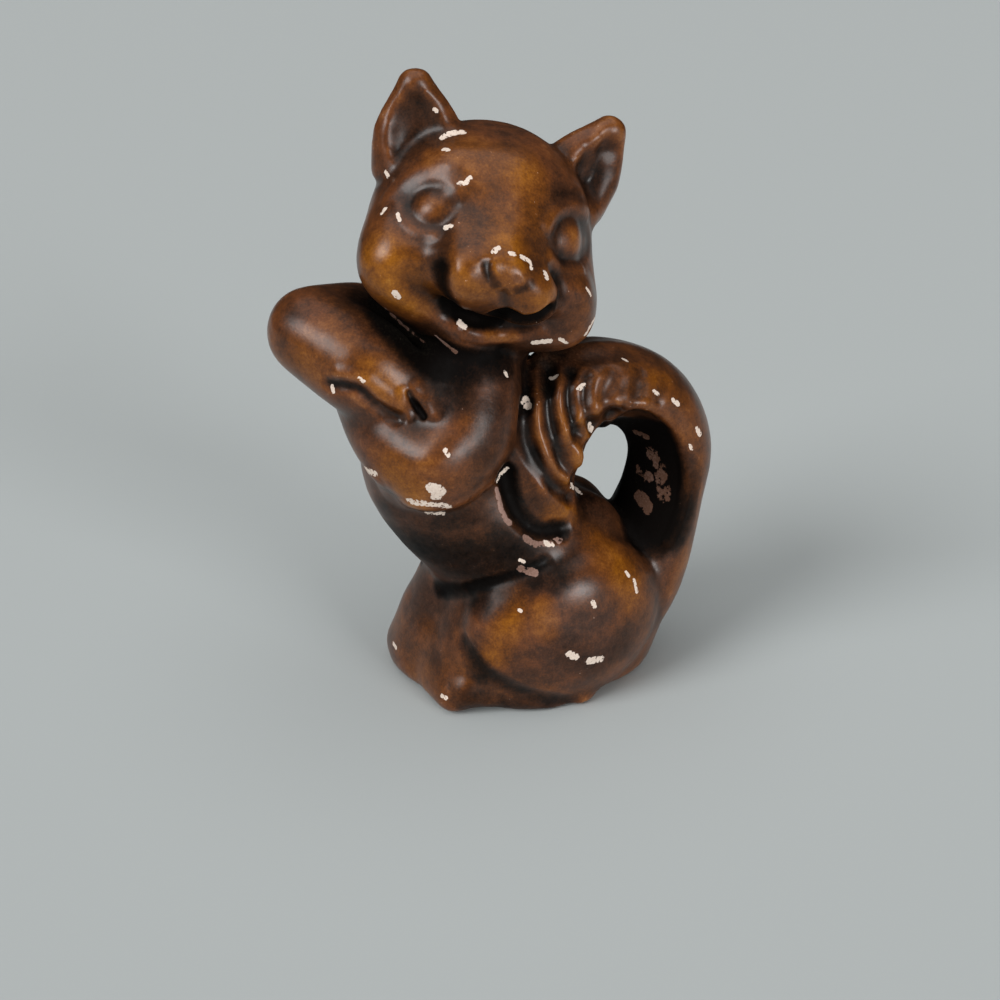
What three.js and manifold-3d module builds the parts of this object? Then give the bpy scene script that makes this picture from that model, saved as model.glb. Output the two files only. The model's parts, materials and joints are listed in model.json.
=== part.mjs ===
// A seated chipmunk figurine: slip-cast earthenware, eleven castings luted together and stained brown.
// Millimetres, +Z up. The body faces -Y and its left side is +X; the head looks out over the left shoulder.
// It stands free on the flat under its seat and feet, and the body and head are one hollow, drained below.

import * as THREE from "three";
import { mergeVertices } from "three/addons/utils/BufferGeometryUtils.js";
import Module from "manifold-3d";

const wasm = await Module();
wasm.setup();

// Casting
const JOINT_GAP = 0.3;
const WALL = 3.6;
const DRAIN_DIAMETER = 12;

// The spine from seat to neck: each section's place ahead of and above the one before it, and its half sizes
const SPINE = {
  seat: { ahead: 0, rise: 2, halfWidth: 15, halfDepth: 18 },
  rump: { ahead: 0, rise: 13, halfWidth: 17, halfDepth: 21 },
  belly: { ahead: 11, rise: 16, halfWidth: 16.5, halfDepth: 22 },
  chest: { ahead: 13, rise: 16, halfWidth: 15, halfDepth: 16 },
  shoulders: { ahead: 0, rise: 13, halfWidth: 14, halfDepth: 12.5 },
  neck: { ahead: -5.5, rise: 10, halfWidth: 12, halfDepth: 11 },
};
const SEAT_CAP = 4;
const NECK_CAP = 3;

// Haunches, set out from the rump
const HAUNCH = { out: 11.5, ahead: 4.5, rise: 0.5, tilt: 14, splay: 6 };
const THIGH = { halfWidth: 10, halfLength: 20.5, halfHeight: 17.5 };

// Hind feet, set out from the middle plane and ahead of the rump, at a height above the ground
const FOOT = {
  heel: { out: 13, ahead: 1.5, height: 1, halfWidth: 6, halfDepth: 3 },
  arch: { out: 11.5, ahead: 12.5, height: 3, halfWidth: 7.5, halfDepth: 5 },
  instep: { out: 6.5, ahead: 21, height: 5, halfWidth: 10.2, halfDepth: 7 },
  toes: { out: 6.3, ahead: 27.4, height: 2.5, halfWidth: 10.5, halfDepth: 5 },
};
const SHIN = {
  knee: { out: 4.5, ahead: 15, height: 22, halfWidth: 10, halfDepth: 8.5 },
  calf: { out: 5.5, ahead: 19.5, height: 12, halfWidth: 10.3, halfDepth: 8.5 },
  ankle: { out: 6, ahead: 23.5, height: 4, halfWidth: 10.2, halfDepth: 7.5 },
};
const FOOT_CAP = 3.5;
const RIGHT_FOOT_LEAD = 4;

// Arms, set out from the middle of the shoulders: left is +, ahead is +
const LEFT_ARM = {
  shoulder: { left: 8, ahead: -3, rise: 6, halfWidth: 7.5, halfDepth: 9 },
  upperArm: { left: 12, ahead: -0.5, rise: -4, halfWidth: 8, halfDepth: 9 },
  elbow: { left: 12, ahead: 4.5, rise: -9, halfWidth: 8.5, halfDepth: 9 },
  forearm: { left: 6.5, ahead: 10, rise: -5, halfWidth: 8.5, halfDepth: 8.5 },
  paw: { left: -2, ahead: 13.5, rise: 1.5, halfWidth: 7, halfDepth: 7 },
};
const RIGHT_ARM = {
  shoulder: { left: -8, ahead: -4.5, rise: 3, halfWidth: 8, halfDepth: 9 },
  upperArm: { left: -11.5, ahead: 10.5, rise: 9, halfWidth: 8.5, halfDepth: 9.5 },
  elbow: { left: -4, ahead: 23, rise: 12, halfWidth: 8, halfDepth: 8.2 },
  forearm: { left: 4, ahead: 15.5, rise: 7.5, halfWidth: 9, halfDepth: 8.5 },
  paw: { left: 8, ahead: 9, rise: 3, halfWidth: 7, halfDepth: 6 },
};
const SHOULDER_CAP = 6;
const ELBOW_CAP = 7.5;
const PAW_CAP = 4;
const PAW_CLEFT = { left: 5, ahead: -1, rise: -2.5, halfWidth: 0.7, halfDepth: 3, halfHeight: 4 };

// Head: its middle from the neck, its turn to the left, its lean and nod, and the skull's half sizes
const HEAD = { left: 1.5, ahead: -0.8, rise: 18, turn: 89, lean: 16.5, nod: 0 };
const SKULL = { halfWidth: 19.6, halfDepth: 17.8, halfHeight: 19.6 };

// Face, in the head's own frame: places on the skull, and how far each form reaches and swells or sinks
const FACE_TILT = 3.5;
const CHEEK = { out: 15, up: -7, reach: 14, swell: 6.4 };
const BROW = { out: 11.5, up: 11, reach: 6, swell: 1.1 };
const SOCKET = { out: 13, up: 5, reach: 7, depth: 2.6 };
const BRIDGE = { up: 5, reach: 7, swell: 1 };
const MUZZLE = { up: -3, reach: 12.5, swell: 4 };
const MOUTH = { up: -12, halfWidth: 10.4, curl: 5.4, reach: 3.2, depth: 1.9, strokes: 13 };
const CHIN = { up: -15.2, reach: 6.4, swell: 3, drop: 1.2 };

// Round forms joined to the face: half sizes, and how far each middle stands out of the skull
const EYEBALL = { stand: -2, halfWidth: 3.7, halfDepth: 2.3, halfHeight: 3 };
const PUFF = { out: 4.8, up: -4, stand: 0.5, halfWidth: 6.4, halfDepth: 5.6, halfHeight: 5.6 };
const NOSE = { up: -1, stand: 4.2, halfWidth: 2.8, halfDepth: 2.2, halfHeight: 3 };

// Ears, rooted at an angle down from the crown, each let into the skull, and scooped out in front
const EAR = { spread: 47.5, back: 0.5, height: 14.4, lean: 19, turnOut: 12, tilt: 18 };
const EAR_SINK = { left: 3.6, right: 5.1 };
const EAR_BLADE = { rootHalfWidth: 8.4, midHalfWidth: 7.4, tipHalfWidth: 2.8 };
const EAR_THICKNESS = { root: 11, mid: 8.4, tip: 5.2 };
const EAR_CAP = 2;
const EAR_SCOOP = { out: 1, ahead: 4.4, rise: -1, halfWidth: 5.2, halfDepth: 3.6, halfHeight: 8 };

// Tail: rooted behind the rump, then a broad band that loops up and over and thickens into a plume.
// Shares run from 0 at the start of the loop, or of the whole tail for the furrows, to 1 at the tip.
const TAIL_ROOT = { behind: 9, rise: -7, halfWidth: 12, halfDepth: 9 };
const TAIL_HIP = { behind: 14.8, rise: 4.2, halfWidth: 12.5, halfDepth: 9.2 };
const TAIL_LOOP = { behind: 6.6, rise: 28.5, halfLength: 13.8, halfHeight: 15.4, from: -25, to: 216, stations: 8 };
const TAIL_BAND = { halfWidth: 12, halfThickness: 8 };
const TAIL_PLUME = { halfWidth: 10, halfThickness: 9.8, reach: 3.4, lean: 7, tipTaper: 0.55 };
const TAIL_CAP = { root: 4, tip: 3 };
const PLUME_SHARES = { leansFrom: 0.2, leansTo: 0.95, fillsFrom: 0.4, fillsTo: 0.76, tapersFrom: 0.76 };
const FURROWS = { count: 9, swell: 0.07, from: 0.45, fullAt: 0.7, fadeFrom: 0.86 };
const KEEL_SHARES = { from: 0.12, fullAt: 0.25, fadeFrom: 0.62, goneAt: 0.8 };

// Facet counts
const CAP_STEPS = 4;
const FACETS = {
  torso: { sides: 24, steps: 3 },
  cavity: { sides: 16, steps: 2 },
  haunch: { around: 22, rings: 14 },
  foot: { sides: 14, steps: 3 },
  arm: { sides: 18, steps: 3 },
  ear: { sides: 18, steps: 3 },
  hollow: { around: 14, rings: 10 },
  boss: { around: 14, rings: 10 },
  head: { around: 40, rings: 26 },
  tail: { sides: 36, steps: 3 },
};

// Rings of the skull crowd toward the face, where the forms are
const FACE_CROWDING = 0.62;

const point = (x, y, z) => new THREE.Vector3(x, y, z);
const radians = THREE.MathUtils.degToRad;
const lerp = THREE.MathUtils.lerp;
const smoothstep = THREE.MathUtils.smoothstep;
const ACROSS = point(1, 0, 0);
const UPRIGHT = point(0, 0, 1);
const FORWARD = point(0, -1, 0);
const SIDES = { left: 1, right: -1 };

// A closed surface as a solid that can be joined and cut
function solidOf(geometry) {
  const bare = new THREE.BufferGeometry();
  bare.setAttribute("position", geometry.getAttribute("position"));
  bare.setIndex(geometry.getIndex());
  const merged = mergeVertices(bare);
  const triVerts = new Uint32Array(merged.getIndex().array);
  const vertProperties = new Float32Array(merged.getAttribute("position").array);
  return new wasm.Manifold(new wasm.Mesh({ numProp: 3, vertProperties, triVerts }));
}

function geometryOf(solid) {
  const mesh = solid.getMesh();
  const geometry = new THREE.BufferGeometry();
  geometry.setAttribute("position", new THREE.BufferAttribute(new Float32Array(mesh.vertProperties), 3));
  geometry.setIndex(new THREE.BufferAttribute(new Uint32Array(mesh.triVerts), 1));
  geometry.computeVertexNormals();
  return geometry;
}

const largest = (solid) => solid.decompose().sort((a, b) => b.volume() - a.volume())[0];

// What stands above a level
const above = (level, solid) => solid.trimByPlane(UPRIGHT.toArray(), level);

// A solid cut by the ground and by its neighbours, which are given already grown by the joint gap
function cutBy(solid, ...neighbours) {
  const cut = neighbours.reduce((rest, tool) => rest.subtract(tool), above(0, solid));
  return largest(cut);
}

const ellipsoid = (halfWidth, halfDepth, halfHeight, around, rings) =>
  new THREE.SphereGeometry(1, around, rings).scale(halfWidth, halfDepth, halfHeight);

// A loft through elliptical sections, both ends rounded off. The sections stand square to the path, or
// all face one way. Every half size, cap included, can be grown to make a cutting tool, and
// relief(u, angle) swells the surface along it.
function loft(sections, { across, facing, sides, steps, startCap, endCap, grow = 0, relief = () => 0 }) {
  const path = new THREE.CatmullRomCurve3(sections.map((s) => s.centre), false, "centripetal");
  const sizes = new THREE.CatmullRomCurve3(
    sections.map((s) => point(s.halfWidth + grow, s.halfDepth + grow, 0)), false, "centripetal");
  const ring = (u, shift, shrink) => {
    const axis = facing ?? path.getTangent(u);
    const side = across.clone().projectOnPlane(axis).normalize();
    const normal = point().crossVectors(axis, side);
    const centre = path.getPoint(u).addScaledVector(axis, shift);
    const size = sizes.getPoint(u).multiplyScalar(shrink);
    return Array.from({ length: sides }, (_, i) => {
      const angle = (2 * Math.PI * i) / sides;
      const swell = 1 + relief(u, angle);
      return centre.clone()
        .addScaledVector(side, size.x * swell * Math.cos(angle))
        .addScaledVector(normal, size.y * swell * Math.sin(angle));
    });
  };
  const startReach = startCap + grow;
  const endReach = endCap + grow;
  const rings = [];
  for (let k = CAP_STEPS - 1; k >= 1; k--) {
    const turn = (Math.PI / 2) * (k / CAP_STEPS);
    rings.push(ring(0, -startReach * Math.sin(turn), Math.cos(turn)));
  }
  const spans = (sections.length - 1) * steps;
  for (let i = 0; i <= spans; i++) rings.push(ring(i / spans, 0, 1));
  for (let k = 1; k < CAP_STEPS; k++) {
    const turn = (Math.PI / 2) * (k / CAP_STEPS);
    rings.push(ring(1, endReach * Math.sin(turn), Math.cos(turn)));
  }
  const first = path.getPoint(0).addScaledVector(facing ?? path.getTangent(0), -startReach);
  const last = path.getPoint(1).addScaledVector(facing ?? path.getTangent(1), endReach);
  return skinned([first, ...rings.flat(), last], rings.length, sides);
}

// Triangles over rings of points, closed at both ends on a single point
function skinned(points, ringCount, sides) {
  const at = (r, i) => 1 + r * sides + (i % sides);
  const end = points.length - 1;
  const index = [];
  for (let i = 0; i < sides; i++) {
    index.push(0, at(0, i + 1), at(0, i));
    for (let r = 0; r + 1 < ringCount; r++) {
      index.push(at(r, i), at(r, i + 1), at(r + 1, i));
      index.push(at(r, i + 1), at(r + 1, i + 1), at(r + 1, i));
    }
    index.push(end, at(ringCount - 1, i), at(ringCount - 1, i + 1));
  }
  return new THREE.BufferGeometry().setFromPoints(points).setIndex(index);
}

// Torso: the spine's sections stacked from the ground
function stackedSpine() {
  const at = point(0, 0, 0);
  const stacked = {};
  for (const [name, { ahead, rise, halfWidth, halfDepth }] of Object.entries(SPINE)) {
    at.add(point(0, -ahead, rise));
    stacked[name] = { centre: at.clone(), halfWidth, halfDepth };
  }
  return stacked;
}
const spine = stackedSpine();

function torsoForm(grow = 0, facets = FACETS.torso) {
  const caps = { startCap: SEAT_CAP, endCap: NECK_CAP };
  return solidOf(loft(Object.values(spine), { across: ACROSS, facing: UPRIGHT, ...facets, ...caps, grow }));
}

const grownTorso = torsoForm(JOINT_GAP);

// A round hole along Z, between two heights over a place
function hole(diameter, at, from, to) {
  const radius = diameter / 2;
  const plug = new THREE.CylinderGeometry(radius, radius, to - from, FACETS.cavity.sides);
  return solidOf(plug.rotateX(Math.PI / 2).translate(at.x, at.y, (from + to) / 2));
}

// The hollow of the body: the torso's form drawn in by the wall, flat over the base, with the drain hole
function bodyHollow() {
  const cavity = above(WALL, torsoForm(-WALL, FACETS.cavity));
  const inside = spine.rump.centre.z;
  return cavity.add(hole(DRAIN_DIAMETER, spine.seat.centre, -inside, inside));
}

// Hind legs
function haunchForm(side, grow = 0) {
  const { around, rings } = FACETS.haunch;
  const { halfWidth, halfLength, halfHeight } = THIGH;
  const thigh = new THREE.SphereGeometry(1, around, rings).rotateZ(Math.PI / 2);
  thigh.scale(halfWidth + grow, halfLength + grow, halfHeight + grow);
  thigh.rotateX(radians(HAUNCH.tilt)).rotateZ(side * radians(HAUNCH.splay));
  const middle = point(side * HAUNCH.out, -HAUNCH.ahead, HAUNCH.rise).add(spine.rump.centre);
  return solidOf(thigh.translate(middle.x, middle.y, middle.z));
}

function footForm(side, grow = 0) {
  const lead = side === SIDES.right ? RIGHT_FOOT_LEAD : 0;
  const placed = ({ out, ahead, height, halfWidth, halfDepth }) => ({
    centre: point(side * out, spine.rump.centre.y - ahead - lead, height), halfWidth, halfDepth,
  });
  const shape = { across: ACROSS, ...FACETS.foot, startCap: FOOT_CAP, endCap: FOOT_CAP, grow };
  const sole = solidOf(loft(Object.values(FOOT).map(placed), shape));
  return sole.add(solidOf(loft(Object.values(SHIN).map(placed), shape)));
}

// Arms
const onShoulders = ({ left, ahead, rise, halfWidth, halfDepth }) => ({
  centre: point(left, -ahead, rise).add(spine.shoulders.centre), halfWidth, halfDepth,
});

// An upper arm and a forearm, joined round the elbow
function armForm({ shoulder, upperArm, elbow, forearm, paw }, across, grow = 0) {
  const shape = { across, ...FACETS.arm, grow };
  const upper = [shoulder, upperArm, elbow].map(onShoulders);
  const lower = [elbow, forearm, paw].map(onShoulders);
  const bent = solidOf(loft(upper, { ...shape, startCap: SHOULDER_CAP, endCap: ELBOW_CAP }));
  return bent.add(solidOf(loft(lower, { ...shape, startCap: ELBOW_CAP, endCap: PAW_CAP })));
}

// The cleft between the two fingers of the right paw
function pawCleft() {
  const { left, ahead, rise, halfWidth, halfDepth, halfHeight } = PAW_CLEFT;
  const { around, rings } = FACETS.hollow;
  const paw = onShoulders(RIGHT_ARM.paw).centre;
  const cleft = ellipsoid(halfDepth, halfWidth, halfHeight, around, rings);
  return solidOf(cleft.translate(paw.x + left, paw.y - ahead, paw.z + rise));
}

// Head: a skull swollen and sunk by the forms of the face, then turned and leaned on the neck
const headPose = new THREE.Matrix4().compose(
  point(HEAD.left, -HEAD.ahead, HEAD.rise).add(spine.neck.centre),
  new THREE.Quaternion().setFromEuler(
    new THREE.Euler(-radians(HEAD.nod), radians(HEAD.lean), radians(HEAD.turn), "ZYX")),
  point(1, 1, 1));

// The place on the front of the skull that lies out to the left and up from the middle of the face
function onSkull(out, up) {
  const { halfWidth, halfDepth, halfHeight } = SKULL;
  const at = point(out, 0, up).applyAxisAngle(FORWARD, -radians(FACE_TILT));
  const rest = 1 - (at.x / halfWidth) ** 2 - (at.z / halfHeight) ** 2;
  return at.setY(-halfDepth * Math.sqrt(Math.max(0, rest)));
}

function outOfSkull(at, amount) {
  const { halfWidth, halfDepth, halfHeight } = SKULL;
  return point(at.x / halfWidth ** 2, at.y / halfDepth ** 2, at.z / halfHeight ** 2).setLength(amount);
}

function faceForms() {
  const forms = [];
  const swell = (at, reach, amount) => forms.push({ at, reach, push: outOfSkull(at, amount) });
  const sink = (at, reach, amount) => forms.push({ at, reach, push: outOfSkull(at, amount).negate() });
  for (const side of Object.values(SIDES)) {
    swell(onSkull(side * CHEEK.out, CHEEK.up), CHEEK.reach, CHEEK.swell);
    swell(onSkull(side * BROW.out, BROW.up), BROW.reach, BROW.swell);
    sink(onSkull(side * SOCKET.out, SOCKET.up), SOCKET.reach, SOCKET.depth);
  }
  swell(onSkull(0, BRIDGE.up), BRIDGE.reach, BRIDGE.swell);
  swell(onSkull(0, MUZZLE.up), MUZZLE.reach, MUZZLE.swell);
  forms.push({ at: onSkull(0, CHIN.up), reach: CHIN.reach, push: point(0, -CHIN.swell, -CHIN.drop) });
  for (let k = 0; k < MOUTH.strokes; k++) {
    const along = (2 * k) / (MOUTH.strokes - 1) - 1;
    sink(onSkull(along * MOUTH.halfWidth, MOUTH.up + MOUTH.curl * along ** 2), MOUTH.reach, MOUTH.depth);
  }
  return forms;
}
const face = faceForms();
const fade = (share) => (share < 1 ? (1 - share ** 2) ** 2 : 0);

function skullForm(grow) {
  const { around, rings } = FACETS.head;
  const ball = new THREE.SphereGeometry(1, around, rings).rotateX(Math.PI);
  const positions = ball.getAttribute("position");
  const radii = point(SKULL.halfWidth, SKULL.halfDepth, SKULL.halfHeight);
  for (let i = 0; i < positions.count; i++) {
    const ray = point().fromBufferAttribute(positions, i);
    const polar = Math.acos(THREE.MathUtils.clamp(-ray.y, -1, 1));
    const crowded = polar * lerp(FACE_CROWDING, 1, polar / Math.PI);
    const rim = point(ray.x, 0, ray.z).normalize().multiplyScalar(Math.sin(crowded));
    const out = rim.setY(-Math.cos(crowded));
    const skin = out.clone().multiply(radii);
    const shaped = skin.clone().addScaledVector(out, grow);
    for (const { at, reach, push } of face) shaped.addScaledVector(push, fade(skin.distanceTo(at) / reach));
    positions.setXYZ(i, shaped.x, shaped.y, shaped.z);
  }
  return ball;
}

// A round form that stands on the skull, its depth along the way out of it
function boss(at, { stand, halfWidth, halfDepth, halfHeight }, grow) {
  const { around, rings } = FACETS.boss;
  const out = outOfSkull(at, 1);
  const round = ellipsoid(halfWidth + grow, halfDepth + grow, halfHeight + grow, around, rings);
  round.applyQuaternion(new THREE.Quaternion().setFromUnitVectors(FORWARD, out));
  const middle = at.clone().addScaledVector(out, stand);
  return round.translate(middle.x, middle.y, middle.z);
}

function headForm(grow = 0) {
  const forms = [skullForm(grow), boss(onSkull(0, NOSE.up), NOSE, grow)];
  for (const side of Object.values(SIDES)) {
    forms.push(boss(onSkull(side * SOCKET.out, SOCKET.up), EYEBALL, grow));
    forms.push(boss(onSkull(side * PUFF.out, PUFF.up), PUFF, grow));
  }
  return forms.map((form) => solidOf(form.applyMatrix4(headPose))).reduce((whole, form) => whole.add(form));
}

// The hollow of the head
function headHollow() {
  const { halfWidth, halfDepth, halfHeight } = SKULL;
  const { sides } = FACETS.cavity;
  const hollow = ellipsoid(halfWidth - WALL, halfDepth - WALL, halfHeight - WALL, sides, sides);
  return solidOf(hollow.applyMatrix4(headPose));
}

// The way from the hollow of the body up to the middle of the head
function neckPassage() {
  const { centre, halfWidth, halfDepth } = spine.neck;
  const bore = 2 * (Math.min(halfWidth, halfDepth) - WALL);
  return hole(bore, centre, centre.z - WALL, centre.z + HEAD.rise);
}

// Ears
function earForm(side, sink) {
  const spread = radians(EAR.spread);
  const rise = point(side * Math.sin(radians(EAR.lean)), 0, Math.cos(radians(EAR.lean)));
  const { halfWidth, halfHeight } = SKULL;
  const onCrown = point(side * halfWidth * Math.sin(spread), EAR.back, halfHeight * Math.cos(spread));
  const root = onCrown.addScaledVector(rise, -sink);
  const middle = root.clone().addScaledVector(rise, EAR.height / 2);
  const tip = root.clone().addScaledVector(rise, EAR.height);
  const blade = [
    { centre: root, halfWidth: EAR_BLADE.rootHalfWidth, halfDepth: EAR_THICKNESS.root / 2 },
    { centre: middle, halfWidth: EAR_BLADE.midHalfWidth, halfDepth: EAR_THICKNESS.mid / 2 },
    { centre: tip, halfWidth: EAR_BLADE.tipHalfWidth, halfDepth: EAR_THICKNESS.tip / 2 },
  ];
  const across = point(1, side * Math.sin(radians(EAR.turnOut)), -side * Math.sin(radians(EAR.tilt)));
  const shell = loft(blade, { across, ...FACETS.ear, startCap: EAR_CAP, endCap: EAR_CAP });
  const { around, rings } = FACETS.hollow;
  const scoop = ellipsoid(EAR_SCOOP.halfWidth, EAR_SCOOP.halfDepth, EAR_SCOOP.halfHeight, around, rings);
  scoop.rotateY(side * radians(EAR.lean)).rotateZ(side * radians(EAR.turnOut));
  scoop.translate(middle.x + side * EAR_SCOOP.out, middle.y - EAR_SCOOP.ahead, middle.z + EAR_SCOOP.rise);
  return solidOf(shell.applyMatrix4(headPose)).subtract(solidOf(scoop.applyMatrix4(headPose)));
}

// Tail
function tailSections() {
  const rump = spine.rump.centre;
  const placed = ({ behind, rise, halfWidth, halfDepth }) => ({
    centre: point(0, behind, rise).add(rump), halfWidth, halfDepth,
  });
  const { from, to, stations } = TAIL_LOOP;
  const { leansFrom, leansTo, fillsFrom, fillsTo, tapersFrom } = PLUME_SHARES;
  const sections = [placed(TAIL_ROOT), placed(TAIL_HIP)];
  for (let k = 0; k < stations; k++) {
    const along = k / (stations - 1);
    const turn = radians(lerp(from, to, along));
    const taper = lerp(1, TAIL_PLUME.tipTaper, smoothstep(along, tapersFrom, 1));
    const lean = TAIL_PLUME.lean * smoothstep(along, leansFrom, leansTo);
    const fullness = smoothstep(along, fillsFrom, fillsTo);
    const reach = TAIL_PLUME.reach * fullness * (1 - smoothstep(along, tapersFrom, 1));
    const behind = TAIL_LOOP.behind + (TAIL_LOOP.halfLength + reach) * Math.cos(turn);
    const rise = TAIL_LOOP.rise + (TAIL_LOOP.halfHeight + reach) * Math.sin(turn);
    sections.push({
      centre: point(lean, behind, rise).add(rump),
      halfWidth: taper * lerp(TAIL_BAND.halfWidth, TAIL_PLUME.halfWidth, fullness),
      halfDepth: taper * lerp(TAIL_BAND.halfThickness, TAIL_PLUME.halfThickness, fullness),
    });
  }
  return sections;
}

// Long furrows of fur, which start where the band turns over and run out at the tip
function plumeRelief(u, angle) {
  const strength = smoothstep(u, FURROWS.from, FURROWS.fullAt) * (1 - smoothstep(u, FURROWS.fadeFrom, 1));
  return FURROWS.swell * strength * Math.cos(FURROWS.count * angle);
}

// Inside the loop the band's round section draws in to a keel, which closes the way through the loop in
function keelRelief(u, angle) {
  if (Math.sin(angle) >= 0) return 0;
  const { from, fullAt, fadeFrom, goneAt } = KEEL_SHARES;
  const strength = smoothstep(u, from, fullAt) * (1 - smoothstep(u, fadeFrom, goneAt));
  return strength * (1 / (Math.abs(Math.cos(angle)) + Math.abs(Math.sin(angle))) - 1);
}

function tailForm() {
  const relief = (u, angle) => plumeRelief(u, angle) + keelRelief(u, angle);
  const shape = { across: ACROSS, ...FACETS.tail, relief };
  return solidOf(loft(tailSections(), { ...shape, startCap: TAIL_CAP.root, endCap: TAIL_CAP.tip }));
}

// Stain: rubbed lighter on the head and arms, left darker in the body and tail
const stain = (color, roughness) => new THREE.MeshStandardMaterial({ color, roughness, metalness: 0 });
const FINISH = {
  torso: stain(0x4a2c15, 0.55),
  head: stain(0x6a411d, 0.45),
  ear: stain(0x583620, 0.55),
  arm: stain(0x603b1a, 0.48),
  haunch: stain(0x59391c, 0.5),
  foot: stain(0x53331b, 0.52),
  tail: stain(0x4f3019, 0.5),
};

const figure = new THREE.Group();

function add(name, solid, finish) {
  const mesh = new THREE.Mesh(geometryOf(solid), finish);
  mesh.name = name;
  figure.add(mesh);
}

const grownHead = headForm(JOINT_GAP);
add("torso", cutBy(torsoForm(), bodyHollow(), neckPassage()), FINISH.torso);
add("head", cutBy(headForm(), grownTorso, headHollow(), neckPassage()), FINISH.head);

for (const [name, side] of Object.entries(SIDES)) {
  const grownHaunch = haunchForm(side, JOINT_GAP);
  add(`${name}_haunch`, cutBy(haunchForm(side), grownTorso), FINISH.haunch);
  const inside = side === SIDES.left ? [footForm(SIDES.right, JOINT_GAP)] : [];
  add(`${name}_foot`, cutBy(footForm(side), grownTorso, grownHaunch, ...inside), FINISH.foot);
  add(`${name}_ear`, cutBy(earForm(side, EAR_SINK[name]), grownHead), FINISH.ear);
}

const grownRightArm = armForm(RIGHT_ARM, UPRIGHT, JOINT_GAP);
const grownLeftArm = armForm(LEFT_ARM, ACROSS, JOINT_GAP);
const rightArm = armForm(RIGHT_ARM, UPRIGHT).subtract(pawCleft());
add("right_arm", cutBy(rightArm, grownTorso, grownHead), FINISH.arm);
add("left_arm", cutBy(armForm(LEFT_ARM, ACROSS), grownTorso, grownHead, grownRightArm), FINISH.arm);

const grownHaunches = Object.values(SIDES).map((side) => haunchForm(side, JOINT_GAP));
add("tail", cutBy(tailForm(), grownTorso, grownHead, grownLeftArm, ...grownHaunches), FINISH.tail);

// The origin lies under the middle of the figure, on the ground
const middle = new THREE.Box3().setFromObject(figure, true).getCenter(point());
figure.position.set(-middle.x, -middle.y, 0);

export default figure;
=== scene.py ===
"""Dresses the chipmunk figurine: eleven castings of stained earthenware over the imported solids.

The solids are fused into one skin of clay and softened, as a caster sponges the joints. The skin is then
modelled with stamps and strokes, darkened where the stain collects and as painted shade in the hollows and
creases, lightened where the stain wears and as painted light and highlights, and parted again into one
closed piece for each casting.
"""

from __future__ import annotations

import json
import logging
import math
from collections.abc import Iterator, Sequence
from dataclasses import dataclass
from enum import Enum

import bmesh
import bpy
import numpy as np
from bmesh.types import BMEdge, BMesh, BMFace, BMVert
from bpy.types import Material, Mesh, Node, NodeSocket, NodeTree, Object, bpy_prop_collection
from mathutils import Matrix, Vector
from mathutils.bvhtree import BVHTree

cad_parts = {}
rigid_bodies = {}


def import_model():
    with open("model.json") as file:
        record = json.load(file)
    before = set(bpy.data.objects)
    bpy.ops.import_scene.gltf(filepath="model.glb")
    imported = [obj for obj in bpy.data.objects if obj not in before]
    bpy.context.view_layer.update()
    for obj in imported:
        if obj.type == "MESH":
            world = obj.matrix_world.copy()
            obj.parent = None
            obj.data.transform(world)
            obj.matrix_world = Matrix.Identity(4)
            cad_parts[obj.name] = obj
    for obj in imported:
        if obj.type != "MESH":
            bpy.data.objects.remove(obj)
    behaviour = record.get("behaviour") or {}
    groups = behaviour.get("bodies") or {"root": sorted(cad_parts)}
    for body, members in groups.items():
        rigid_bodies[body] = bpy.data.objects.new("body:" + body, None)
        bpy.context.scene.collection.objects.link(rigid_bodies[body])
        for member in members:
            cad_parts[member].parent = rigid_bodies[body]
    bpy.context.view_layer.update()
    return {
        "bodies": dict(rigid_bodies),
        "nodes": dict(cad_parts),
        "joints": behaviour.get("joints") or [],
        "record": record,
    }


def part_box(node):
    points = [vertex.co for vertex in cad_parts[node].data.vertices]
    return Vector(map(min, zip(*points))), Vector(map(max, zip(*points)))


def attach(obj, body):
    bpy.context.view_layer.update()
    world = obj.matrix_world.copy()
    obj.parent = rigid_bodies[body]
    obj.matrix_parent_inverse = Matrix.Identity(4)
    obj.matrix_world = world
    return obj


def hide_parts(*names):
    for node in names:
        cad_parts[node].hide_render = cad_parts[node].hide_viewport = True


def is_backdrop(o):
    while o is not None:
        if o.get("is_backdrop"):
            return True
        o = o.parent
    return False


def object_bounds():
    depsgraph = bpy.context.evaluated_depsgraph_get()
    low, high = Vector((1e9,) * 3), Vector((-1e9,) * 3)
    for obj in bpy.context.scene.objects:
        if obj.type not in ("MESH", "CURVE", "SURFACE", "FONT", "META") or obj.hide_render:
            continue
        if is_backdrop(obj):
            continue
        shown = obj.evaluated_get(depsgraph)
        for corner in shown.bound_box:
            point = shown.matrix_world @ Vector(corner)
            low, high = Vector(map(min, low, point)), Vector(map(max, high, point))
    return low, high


LOG = logging.getLogger("chipmunk")
MM = 0.001
DRAIN_CLEARANCE = 0.5 * MM
RAY_LIFT = 0.1 * MM
GOLDEN_ANGLE = math.pi * (3 - math.sqrt(5))
# Where the Mix node takes its share and two colours, and gives their mix
MIX_SHARE, MIX_FIRST, MIX_SECOND, MIX_RESULT = 0, 6, 7, 2
Pixel = tuple[float, float]
Path = tuple[Pixel, ...]
Colour = tuple[float, float, float, float]
Tint = NodeSocket | Colour
Fields = dict[str, NodeSocket]
Nodes = dict[str, Object]


class Rise(Enum):
    """How a stamp's height runs from its middle to its edge."""

    SWELL = "swell"
    DOME = "dome"


class Paint(Enum):
    """What a touch of colour shows, by the name of the layer that holds it."""

    # Stain rubbed back on the crests, and painted light and painted highlights
    RUB = "rub"
    # Dark stain pooled in the creases, and painted shade and painted shadow where the figure is in shade
    SOOT = "soot"
    CHIP = "chip"
    CLAY = "clay"


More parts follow.
